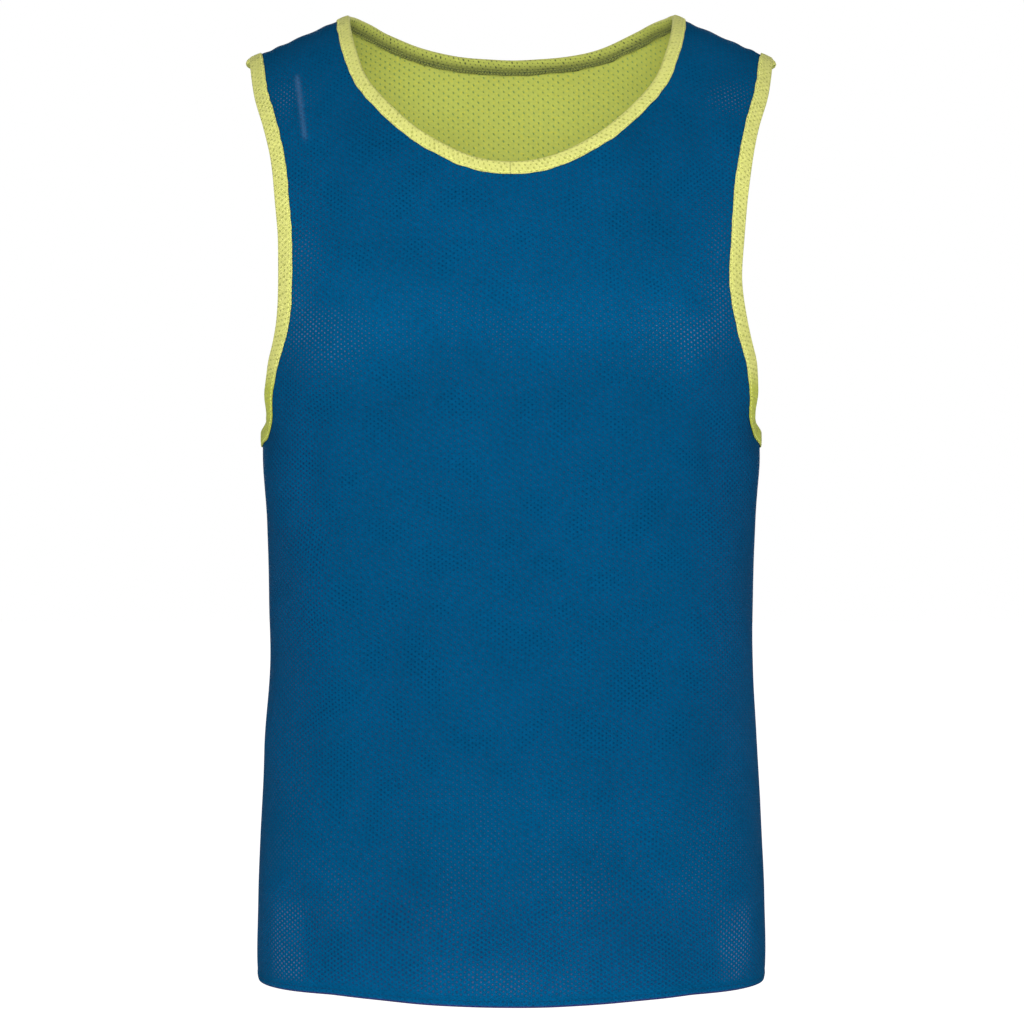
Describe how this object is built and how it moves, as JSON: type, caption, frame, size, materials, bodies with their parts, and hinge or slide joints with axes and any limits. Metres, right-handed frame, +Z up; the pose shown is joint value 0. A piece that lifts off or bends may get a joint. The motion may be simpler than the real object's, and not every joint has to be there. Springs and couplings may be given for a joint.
{
  "type": "reversible training bib",
  "caption": "Sleeveless pull-over sports bib of two open-mesh layers in two colours, bound at a scooped neck and deep armholes, with a closed hem.",
  "frame": {"origin": "midway between the two shoulder points beside the neck, at the level of the inside of the straps, where the wearer's shoulders hold the bib", "axes": "+Z up towards the shoulders, the front faces -Y, +X to the wearer's left"},
  "size_m": [0.395, 0.2448, 0.7218],
  "materials": {
    "blue_mesh": "matt open polyester mesh, blue",
    "lime_mesh": "matt open polyester mesh, lime yellow",
    "lime_binding": "the lime mesh folded into a strip and topstitched"
  },
  "bodies": {
    "root": {"outer_front": "blue_mesh", "outer_back": "blue_mesh", "inner_front": "lime_mesh", "inner_back": "lime_mesh", "neck_binding": "lime_binding", "armhole_binding_left": "lime_binding", "armhole_binding_right": "lime_binding"}
  },
  "joints": []
}
